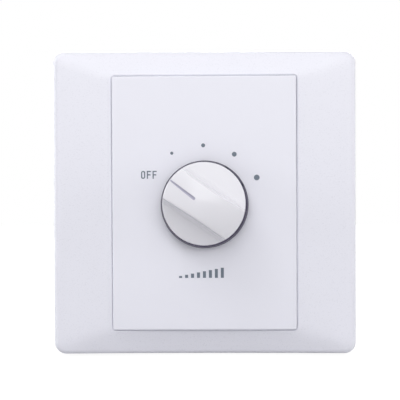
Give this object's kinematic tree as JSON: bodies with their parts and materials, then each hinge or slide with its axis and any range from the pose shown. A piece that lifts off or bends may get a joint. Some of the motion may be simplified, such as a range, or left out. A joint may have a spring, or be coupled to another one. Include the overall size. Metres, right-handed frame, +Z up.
{
  "type": "wall speaker volume control",
  "caption": "White square wall plate with a round stepped volume knob, printed dots and an off mark; rotary switch, transformer and screw terminals behind.",
  "frame": {"origin": "middle of the line between the two wall screw slots, on the wall plane at the back of the base frame", "axes": "+Y into the wall along the knob's shaft, +Z up, +X to the right as seen from the front"},
  "size_m": [0.086, 0.0664, 0.086],
  "materials": {
    "frame_plastic": "gloss white",
    "panel_plastic": "gloss white",
    "base_plastic": "matte white",
    "knob_plastic": "gloss white",
    "groove_paint": "grey paint",
    "ring_plating": "smoked chrome",
    "scale_ink": "slate grey ink",
    "zinc_steel": "zinc plated",
    "spring_steel": "bright",
    "ball_steel": "polished",
    "die_cast_zinc": "cast, bright",
    "nickel_brass": "nickel plated",
    "housing_nylon": "black",
    "wheel_acetal": "natural white",
    "phenolic": "brown laminate",
    "contact_silver": "silver plated brass",
    "spacer_aluminium": "turned",
    "board_laminate": "green solder mask",
    "solder": "bright",
    "core_steel": "varnished laminations",
    "bobbin_nylon": "black",
    "tinned_pin": "tinned",
    "enamelled_copper": "enamelled copper wire",
    "polyester_tape": "yellow tape",
    "strap_steel": "zinc plated sheet",
    "terminal_polyamide": "green",
    "tinned_brass": "tin plated brass"
  },
  "bodies": {
    "base": {"base_frame": "base_plastic", "board_screws": "zinc_steel", "bobbin_pins": "tinned_pin", "centre_panel": "panel_plastic", "circuit_board": "board_laminate", "core_e_stack": "core_steel", "core_i_stack": "core_steel", "detent_balls": "ball_steel", "detent_housing": "housing_nylon", "detent_spring": "spring_steel", "panel_screws": "zinc_steel", "printed_dots": "scale_ink", "printed_level_mark": "scale_ink", "printed_off_mark": "scale_ink", "solder_joints": "solder", "stator_contacts": "contact_silver", "stator_wafer": "phenolic", "strap_nuts": "zinc_steel", "strap_screws": "zinc_steel", "switch_bushing": "die_cast_zinc", "switch_nut": "nickel_brass", "switch_spacers": "spacer_aluminium", "switch_tie_screws": "zinc_steel", "switch_washer": "zinc_steel", "terminal_bars": "tinned_brass", "terminal_block": "terminal_polyamide", "transformer_bobbin": "bobbin_nylon", "transformer_strap": "strap_steel", "transformer_winding": "enamelled_copper", "winding_tape": "polyester_tape"},
    "frame": {"outer_frame": "frame_plastic"},
    "knob": {"knob_cap": "knob_plastic", "knob_ring": "ring_plating", "pointer_paint": "groove_paint", "knob_clip": "spring_steel", "switch_shaft": "spacer_aluminium", "shaft_clip": "spring_steel", "detent_wheel": "wheel_acetal", "contact_rotor": "phenolic", "wiper_contact": "contact_silver"},
    "terminal_screw_1": {"terminal_screw_1": "zinc_steel"},
    "terminal_clamp_1": {"terminal_clamp_1": "tinned_brass"},
    "terminal_screw_2": {"terminal_screw_2": "zinc_steel"},
    "terminal_clamp_2": {"terminal_clamp_2": "tinned_brass"},
    "terminal_screw_3": {"terminal_screw_3": "zinc_steel"},
    "terminal_clamp_3": {"terminal_clamp_3": "tinned_brass"},
    "terminal_screw_4": {"terminal_screw_4": "zinc_steel"},
    "terminal_clamp_4": {"terminal_clamp_4": "tinned_brass"}
  },
  "joints": [
    {"name": "knob_turn", "type": "hinge", "parent": "base", "child": "knob", "pos_m": [0, -0.0126, 0], "axis": [0, 1, 0], "range_deg": [0, 120]},
    {"name": "frame_pull", "type": "slide", "parent": "base", "child": "frame", "axis": [0, -1, 0], "range_m": [0, 0.012]},
    {"name": "terminal_clamp_1_rise", "type": "slide", "parent": "base", "child": "terminal_clamp_1", "axis": [0, 1, 0], "range_m": [0, 0.0025]},
    {"name": "terminal_screw_1_turn", "type": "hinge", "parent": "base", "child": "terminal_screw_1", "pos_m": [-0.01143, 0.025, -0.0251], "axis": [0, -1, 0], "range_deg": [0, 1800]},
    {"name": "terminal_clamp_2_rise", "type": "slide", "parent": "base", "child": "terminal_clamp_2", "axis": [0, 1, 0], "range_m": [0, 0.0025]},
    {"name": "terminal_screw_2_turn", "type": "hinge", "parent": "base", "child": "terminal_screw_2", "pos_m": [-0.00381, 0.025, -0.0251], "axis": [0, -1, 0], "range_deg": [0, 1800]},
    {"name": "terminal_clamp_3_rise", "type": "slide", "parent": "base", "child": "terminal_clamp_3", "axis": [0, 1, 0], "range_m": [0, 0.0025]},
    {"name": "terminal_screw_3_turn", "type": "hinge", "parent": "base", "child": "terminal_screw_3", "pos_m": [0.00381, 0.025, -0.0251], "axis": [0, -1, 0], "range_deg": [0, 1800]},
    {"name": "terminal_clamp_4_rise", "type": "slide", "parent": "base", "child": "terminal_clamp_4", "axis": [0, 1, 0], "range_m": [0, 0.0025]},
    {"name": "terminal_screw_4_turn", "type": "hinge", "parent": "base", "child": "terminal_screw_4", "pos_m": [0.01143, 0.025, -0.0251], "axis": [0, -1, 0], "range_deg": [0, 1800]}
  ],
  "couplings": [
    {"joint": "terminal_screw_1_turn", "follows": "terminal_clamp_1_rise", "rad_per_m": 12566},
    {"joint": "terminal_screw_2_turn", "follows": "terminal_clamp_2_rise", "rad_per_m": 12566},
    {"joint": "terminal_screw_3_turn", "follows": "terminal_clamp_3_rise", "rad_per_m": 12566},
    {"joint": "terminal_screw_4_turn", "follows": "terminal_clamp_4_rise", "rad_per_m": 12566}
  ]
}
